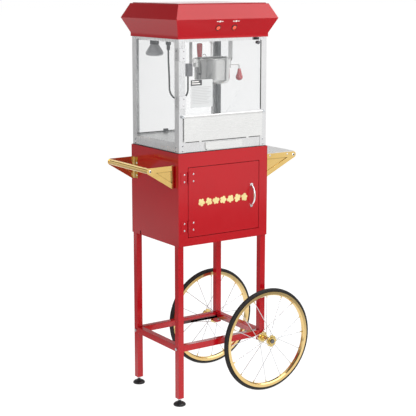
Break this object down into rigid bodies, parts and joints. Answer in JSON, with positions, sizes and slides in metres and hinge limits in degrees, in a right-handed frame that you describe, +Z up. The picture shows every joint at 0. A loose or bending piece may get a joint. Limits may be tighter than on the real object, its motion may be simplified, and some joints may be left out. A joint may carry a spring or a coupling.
{
  "type": "popcorn cart",
  "caption": "Glass-sided popcorn popper with a tilting kettle on a red cabinet cart with spoked wheels, levelling feet, a tow handle and a side shelf.",
  "frame": {"origin": "on the floor under the middle of the whole cart's box", "axes": "+Z up, +X along the front to the shelf side, -Y out of the front with the doors"},
  "size_m": [0.755, 0.49, 1.59],
  "materials": {
    "red_paint": "gloss",
    "gold_plate": "polished",
    "zinc": "bright zinc",
    "chrome": "polished",
    "stainless": "brushed",
    "aluminium": "satin anodised",
    "glass": "clear",
    "tyre_rubber": "satin",
    "black_plastic": "satin",
    "grey_plastic": "satin",
    "white_plastic": "gloss",
    "red_grip": "gloss",
    "switch_red": "gloss, translucent",
    "lead_jacket": "satin",
    "lamp_glass": "frosted face, silvered body",
    "motor_grey": "satin",
    "heater_mat": "silicone"
  },
  "bodies": {
    "cart": {"legs": "red_paint", "lower_rails": "red_paint", "leg_plugs": "zinc", "wheel_axles": "zinc", "cabinet_panels": "red_paint", "cabinet_front_frame": "red_paint", "cabinet_hinges": "red_paint", "side_brackets": "gold_plate", "cross_bars": "gold_plate", "shelf_tray": "stainless", "frame_bolts": "zinc", "base_rails": "aluminium", "deck_plate": "stainless", "deck_heaters": "heater_mat", "corner_posts": "aluminium", "top_rails": "aluminium", "fixed_panes": "glass", "case_screws": "zinc", "catches": "black_plastic", "glass_hinges": "zinc", "kettle_hangers": "stainless", "connector_box": "grey_plastic", "ceiling_sockets": "black_plastic", "lamp_bulb": "lamp_glass", "kettle_plug": "black_plastic", "kettle_lead": "lead_jacket", "ceiling_plate": "stainless", "gear_motor": "motor_grey", "canopy_shell": "red_paint", "canopy_cover": "red_paint", "switch_bodies": "black_plastic", "cord_gland": "black_plastic"},
    "front_wheel": {"front_tyre": "tyre_rubber", "front_rim": "gold_plate", "front_spokes": "zinc", "front_hub": "gold_plate"},
    "rear_wheel": {"rear_tyre": "tyre_rubber", "rear_rim": "gold_plate", "rear_spokes": "zinc", "rear_hub": "gold_plate"},
    "front_foot": {"front_foot": "black_plastic"},
    "rear_foot": {"rear_foot": "black_plastic"},
    "cabinet_door": {"cabinet_door": "red_paint", "cabinet_pull": "chrome", "cabinet_door_leaves": "red_paint"},
    "glass_door": {"glass_door": "glass", "glass_door_leaves": "zinc", "glass_door_knob": "white_plastic"},
    "serving_panel": {"serving_panel": "stainless"},
    "crumb_drawer": {"crumb_drawer": "stainless"},
    "kettle": {"kettle_pot": "stainless", "kettle_crank": "stainless", "crank_grip": "red_grip"},
    "front_lid": {"front_lid": "stainless"},
    "rear_lid": {"rear_lid": "stainless", "lid_handle": "red_grip"},
    "agitator": {"agitator": "stainless"},
    "drive_shaft": {"drive_shaft": "stainless"},
    "light_rocker": {"light_rocker": "switch_red"},
    "heat_rocker": {"heat_rocker": "switch_red"}
  },
  "joints": [
    {"name": "front_wheel_spin", "type": "hinge", "parent": "cart", "child": "front_wheel", "pos_m": [0.1625, -0.205, 0.215], "axis": [0, 1, 0], "continuous": true},
    {"name": "rear_wheel_spin", "type": "hinge", "parent": "cart", "child": "rear_wheel", "pos_m": [0.1625, 0.205, 0.215], "axis": [0, 1, 0], "continuous": true},
    {"name": "front_foot_screw", "type": "slide", "parent": "cart", "child": "front_foot", "axis": [0, 0, -1], "range_m": [0, 0.012]},
    {"name": "rear_foot_screw", "type": "slide", "parent": "cart", "child": "rear_foot", "axis": [0, 0, -1], "range_m": [0, 0.012]},
    {"name": "cabinet_door_hinge", "type": "hinge", "parent": "cart", "child": "cabinet_door", "pos_m": [-0.2065, -0.1803, 0.822], "axis": [0, 0, -1], "range_deg": [0, 115]},
    {"name": "glass_door_hinge", "type": "hinge", "parent": "cart", "child": "glass_door", "pos_m": [-0.2495, -0.1775, 1.306], "axis": [0, 0, -1], "range_deg": [0, 110]},
    {"name": "serving_panel_pivot", "type": "hinge", "parent": "cart", "child": "serving_panel", "pos_m": [-0.0375, -0.1773, 1.16], "axis": [-1, 0, 0], "range_deg": [0, 80]},
    {"name": "crumb_drawer_slide", "type": "slide", "parent": "cart", "child": "crumb_drawer", "axis": [0, -1, 0], "range_m": [0, 0.22]},
    {"name": "kettle_tilt", "type": "hinge", "parent": "cart", "child": "kettle", "pos_m": [0.0045, -0.03, 1.367], "axis": [1, 0, 0], "range_deg": [0, 100]},
    {"name": "front_lid_hinge", "type": "hinge", "parent": "kettle", "child": "front_lid", "pos_m": [0.0045, -0.042, 1.3722], "axis": [-1, 0, 0], "range_deg": [0, 60]},
    {"name": "rear_lid_hinge", "type": "hinge", "parent": "kettle", "child": "rear_lid", "pos_m": [0.0045, -0.018, 1.3722], "axis": [1, 0, 0], "range_deg": [0, 35]},
    {"name": "agitator_spin", "type": "hinge", "parent": "kettle", "child": "agitator", "pos_m": [0.0045, -0.03, 1.38], "axis": [0, 0, 1], "continuous": true},
    {"name": "drive_shaft_spin", "type": "hinge", "parent": "cart", "child": "drive_shaft", "pos_m": [0.0045, -0.03, 1.45], "axis": [0, 0, 1], "continuous": true},
    {"name": "light_rocker_tilt", "type": "hinge", "parent": "cart", "child": "light_rocker", "pos_m": [-0.0755, -0.18757, 1.49745], "axis": [-1, 0, 0], "range_deg": [0, 12]},
    {"name": "heat_rocker_tilt", "type": "hinge", "parent": "cart", "child": "heat_rocker", "pos_m": [0.0005, -0.18757, 1.49745], "axis": [-1, 0, 0], "range_deg": [0, 12]}
  ],
  "couplings": [
    {"joint": "drive_shaft_spin", "follows": "agitator_spin", "ratio": 1}
  ]
}
